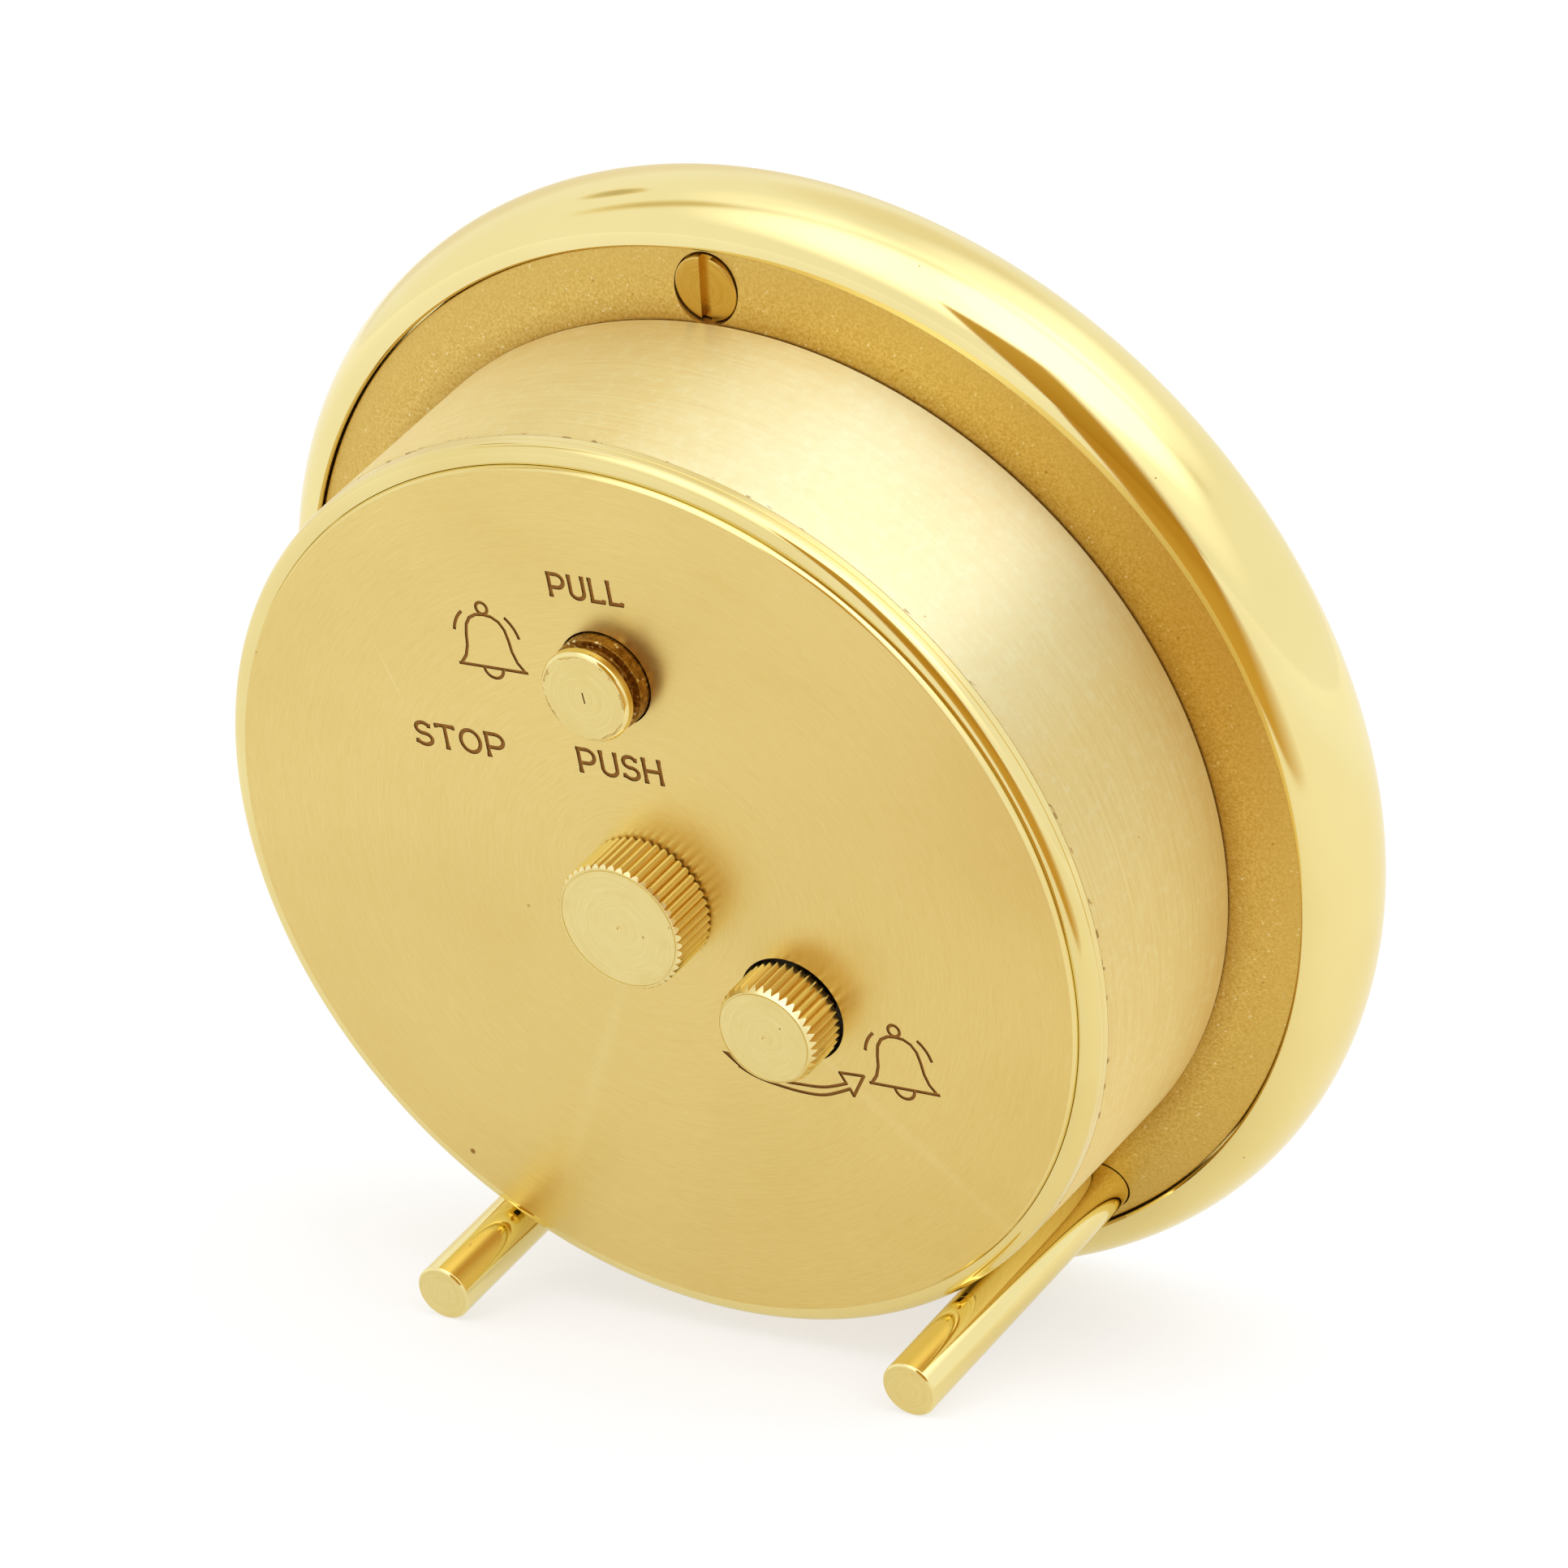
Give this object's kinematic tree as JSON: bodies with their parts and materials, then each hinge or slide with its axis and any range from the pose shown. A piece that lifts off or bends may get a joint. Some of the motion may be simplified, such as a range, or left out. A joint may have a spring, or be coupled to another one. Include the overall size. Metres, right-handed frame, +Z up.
{
  "type": "desk alarm clock",
  "caption": "Round gilt brass desk alarm clock: a brushed drum behind a thick polished ring, leaning back on plain rods, with knurled setting knobs and a push-pull alarm button.",
  "frame": {"origin": "on the table under the middle of the clock's box", "axes": "+Z up, the dial faces -Y and leans back, the back with the knobs faces +Y, +X is to the right as seen from the dial side"},
  "size_m": [0.077, 0.0438, 0.074],
  "materials": {
    "polished_gilt": "polished gilt brass",
    "brushed_gilt": "brushed gilt brass",
    "blasted_gilt": "bead-blasted gilt brass",
    "knurled_gilt": "gilt brass, straight knurling",
    "crystal_glass": "clear mineral glass",
    "gasket_rubber": "matt",
    "dial_ivory": "matt ivory paint",
    "hand_black": "black lacquer",
    "movement_nylon": "moulded",
    "wheel_plastic": "moulded",
    "steel": "turned or stamped steel",
    "coil_copper": "enamelled copper wire",
    "board_green": "coated board",
    "chip_black": "moulded",
    "cell_jacket": "plain metal jacket"
  },
  "bodies": {
    "case": {"bezel_ring": "polished_gilt", "crystal": "crystal_glass", "crystal_gasket": "gasket_rubber", "rehaut_ring": "polished_gilt", "dial": "dial_ivory", "back_plate": "blasted_gilt", "plate_screw": "polished_gilt", "left_foot_rod": "polished_gilt", "right_foot_rod": "polished_gilt", "case_drum": "brushed_gilt", "cover_rim": "polished_gilt", "back_cover": "brushed_gilt", "click_spring": "steel", "alarm_contact_spring": "steel", "stator": "steel", "coil": "coil_copper", "movement_front_plate": "movement_nylon", "movement_bridge": "movement_nylon", "movement_rear_plate": "movement_nylon", "bridge_post_1": "steel", "bridge_post_2": "steel", "bridge_post_3": "steel", "pillar_1": "steel", "pillar_2": "steel", "pillar_3": "steel", "pillar_screw_1": "steel", "pillar_screw_2": "steel", "pillar_screw_3": "steel", "battery": "cell_jacket", "battery_tray": "movement_nylon", "plus_contact": "steel", "minus_contact": "steel", "circuit_board": "board_green", "chip": "chip_black", "quartz_can": "steel", "buzzer": "chip_black"},
    "minute_drive": {"time_knob": "knurled_gilt", "centre_arbor": "steel", "minute_hand": "hand_black"},
    "motion_work": {"motion_wheel": "wheel_plastic"},
    "hour_drive": {"hour_wheel": "wheel_plastic", "hour_hand": "hand_black"},
    "alarm_knob_drive": {"alarm_knob": "knurled_gilt", "alarm_arbor": "steel"},
    "alarm_drive": {"alarm_wheel": "wheel_plastic", "alarm_hand": "hand_black"},
    "button": {"stop_button": "polished_gilt", "button_clip": "steel"},
    "rotor_body": {"rotor": "steel"},
    "intermediate_body": {"intermediate_wheel": "wheel_plastic"},
    "third_body": {"third_wheel": "wheel_plastic"},
    "centre_body": {"centre_wheel": "wheel_plastic"}
  },
  "joints": [
    {"name": "minute_turn", "type": "hinge", "parent": "case", "child": "minute_drive", "pos_m": [0, 0.01294, 0.03066], "axis": [0, 0.9536, -0.3011], "continuous": true},
    {"name": "motion_turn", "type": "hinge", "parent": "case", "child": "motion_work", "pos_m": [0.0061, 0.00252, 0.03764], "axis": [0, 0.9536, -0.3011], "continuous": true},
    {"name": "hour_turn", "type": "hinge", "parent": "case", "child": "hour_drive", "pos_m": [0, 0.01294, 0.03066], "axis": [0, 0.9536, -0.3011], "continuous": true},
    {"name": "alarm_knob_turn", "type": "hinge", "parent": "case", "child": "alarm_knob_drive", "pos_m": [-0.009, 0.01101, 0.02455], "axis": [0, 0.9536, -0.3011], "continuous": true},
    {"name": "alarm_turn", "type": "hinge", "parent": "case", "child": "alarm_drive", "pos_m": [0, 0.01294, 0.03066], "axis": [0, 0.9536, -0.3011], "continuous": true},
    {"name": "button_push", "type": "slide", "parent": "case", "child": "button", "axis": [0, -0.9536, 0.3011], "range_m": [0, 0.002]},
    {"name": "rotor_turn", "type": "hinge", "parent": "case", "child": "rotor_body", "pos_m": [0.00235, 0.00261, 0.02], "axis": [0, 0.9536, -0.3011], "continuous": true},
    {"name": "intermediate_turn", "type": "hinge", "parent": "case", "child": "intermediate_body", "pos_m": [0.00789, 0.00358, 0.02305], "axis": [0, 0.9536, -0.3011], "continuous": true},
    {"name": "third_turn", "type": "hinge", "parent": "case", "child": "third_body", "pos_m": [0.00789, 0.00451, 0.0303], "axis": [0, 0.9536, -0.3011], "continuous": true},
    {"name": "centre_turn", "type": "hinge", "parent": "case", "child": "centre_body", "pos_m": [0, 0.01294, 0.03066], "axis": [0, 0.9536, -0.3011], "continuous": true}
  ],
  "couplings": [
    {"joint": "motion_turn", "follows": "minute_turn", "ratio": -0.33333},
    {"joint": "hour_turn", "follows": "minute_turn", "ratio": 0.083333},
    {"joint": "alarm_turn", "follows": "alarm_knob_turn", "ratio": -0.33333},
    {"joint": "intermediate_turn", "follows": "rotor_turn", "ratio": -0.33333},
    {"joint": "third_turn", "follows": "rotor_turn", "ratio": 0.066667},
    {"joint": "centre_turn", "follows": "rotor_turn", "ratio": -0.011111}
  ]
}
